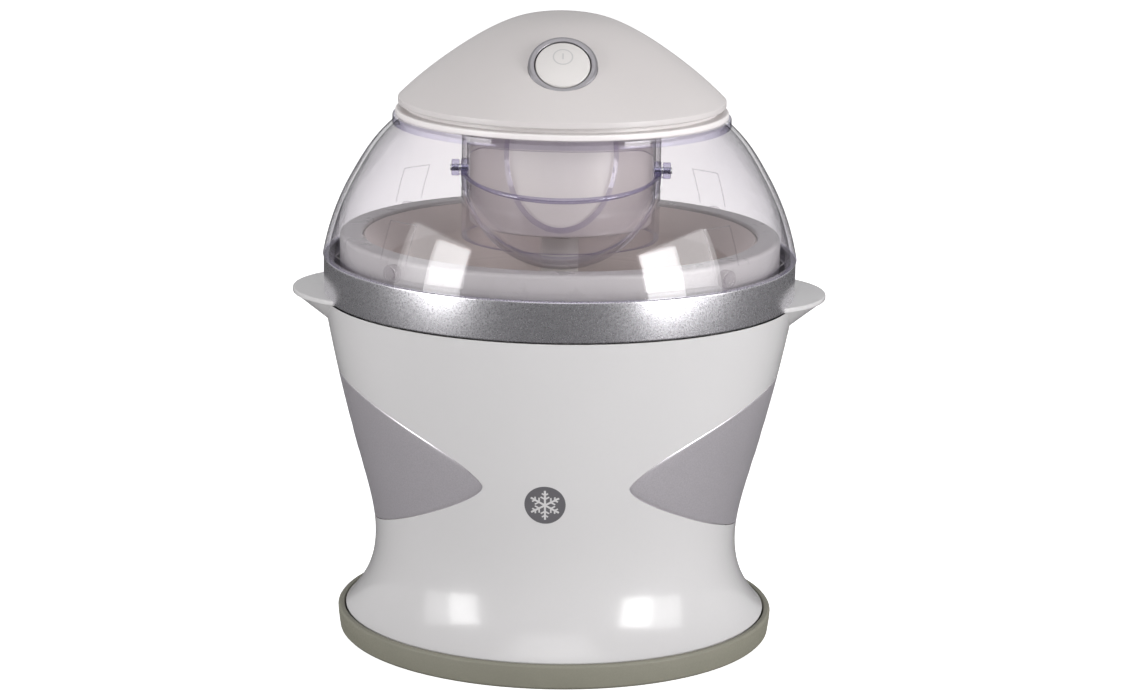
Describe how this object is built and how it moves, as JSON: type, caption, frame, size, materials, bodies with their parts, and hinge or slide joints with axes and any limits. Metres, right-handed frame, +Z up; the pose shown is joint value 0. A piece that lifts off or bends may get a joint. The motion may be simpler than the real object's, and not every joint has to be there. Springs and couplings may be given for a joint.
{
  "type": "ice cream maker",
  "caption": "Tabletop freezer-bowl ice cream maker: flared housing, lift-out bowl, clear dome lid with a swinging scoop, and a geared power unit.",
  "frame": {"origin": "on the surface that it stands on, under the middle of the whole object's box; the vertical axis that the bowl, lid, paddle and power unit share is 4.4 mm behind it, because the scoop stands forward", "axes": "+Z up; +X to the right from handle to handle; the button and the filling scoop face -Y"},
  "size_m": [0.247, 0.2276, 0.291],
  "materials": {
    "white_gloss": "glossy warm white moulding",
    "cover_satin": "satin warm white moulding",
    "button_satin": "satin warm white moulding",
    "bowl_white": "white moulding",
    "inner_plastic": "matt light grey moulding",
    "panel_silver": "satin silver-grey paint",
    "band_silver": "metallic silver paint with fine grain",
    "bezel_silver": "metallic silver paint",
    "ring_rubber": "sage grey rubber",
    "gel": "sealed freezing gel",
    "liner_metal": "satin spun aluminium",
    "paddle_white": "food-safe white moulding",
    "clear_plastic": "clear polycarbonate with a violet edge tint",
    "steel": "plain steel",
    "motor_steel": "plated motor can",
    "gear_nylon": "natural nylon",
    "bronze": "sintered bronze",
    "black_plastic": "black moulding",
    "gland_rubber": "off-white rubber"
  },
  "bodies": {
    "housing": {"base_ring": "ring_rubber", "base_plate": "inner_plastic", "base_screws": "steel", "body_shell": "white_gloss", "left_side_panel": "panel_silver", "right_side_panel": "panel_silver", "handle_ring": "white_gloss", "metal_band": "band_silver", "bowl_well": "inner_plastic"},
    "bowl": {"bowl_shell": "bowl_white", "freezing_gel": "gel", "bowl_liner": "liner_metal", "bowl_rim": "bowl_white"},
    "paddle": {"paddle": "paddle_white"},
    "lid": {"lid_dome": "clear_plastic", "scoop_pins": "steel"},
    "scoop": {"scoop": "clear_plastic"},
    "power_unit": {"lower_cover": "cover_satin", "top_cover": "cover_satin", "cover_screws": "steel", "motor": "motor_steel", "gear_plate": "steel", "motor_screws": "steel", "idler_axle": "steel", "shaft_bush": "bronze", "power_switch": "black_plastic", "button_bezel": "bezel_silver", "cord_gland": "gland_rubber"},
    "button": {"power_button": "button_satin"},
    "motor_pinion": {"motor_pinion": "gear_nylon"},
    "idler": {"idler_gear": "gear_nylon"},
    "output": {"output_gear": "gear_nylon", "drive_shaft": "steel"}
  },
  "joints": [
    {"name": "bowl_lift", "type": "slide", "parent": "housing", "child": "bowl", "axis": [0, 0, 1], "range_m": [0, 0.16]},
    {"name": "lid_lift", "type": "slide", "parent": "bowl", "child": "lid", "axis": [0, 0, 1], "range_m": [0, 0.12]},
    {"name": "scoop_swing", "type": "hinge", "parent": "lid", "child": "scoop", "pos_m": [0, -0.07011, 0.2314], "axis": [1, 0, 0], "range_deg": [-24, 0]},
    {"name": "power_unit_lift", "type": "slide", "parent": "lid", "child": "power_unit", "axis": [0, 0, 1], "range_m": [0, 0.1]},
    {"name": "button_press", "type": "slide", "parent": "power_unit", "child": "button", "axis": [0, 0.7193, -0.6947], "range_m": [0, 0.0025]},
    {"name": "paddle_spin", "type": "hinge", "parent": "bowl", "child": "paddle", "pos_m": [0, 0.00439, 0.1], "axis": [0, 0, 1], "continuous": true},
    {"name": "output_spin", "type": "hinge", "parent": "power_unit", "child": "output", "pos_m": [0, 0.00439, 0.2], "axis": [0, 0, 1], "continuous": true},
    {"name": "idler_spin", "type": "hinge", "parent": "power_unit", "child": "idler", "pos_m": [0.018, 0.01871, 0.2], "axis": [0, 0, 1], "continuous": true},
    {"name": "pinion_spin", "type": "hinge", "parent": "power_unit", "child": "motor_pinion", "pos_m": [0, 0.01839, 0.21], "axis": [0, 0, 1], "continuous": true}
  ],
  "couplings": [
    {"joint": "output_spin", "follows": "paddle_spin", "ratio": 1},
    {"joint": "idler_spin", "follows": "paddle_spin", "ratio": -2.8333},
    {"joint": "pinion_spin", "follows": "paddle_spin", "ratio": 7.3667}
  ]
}
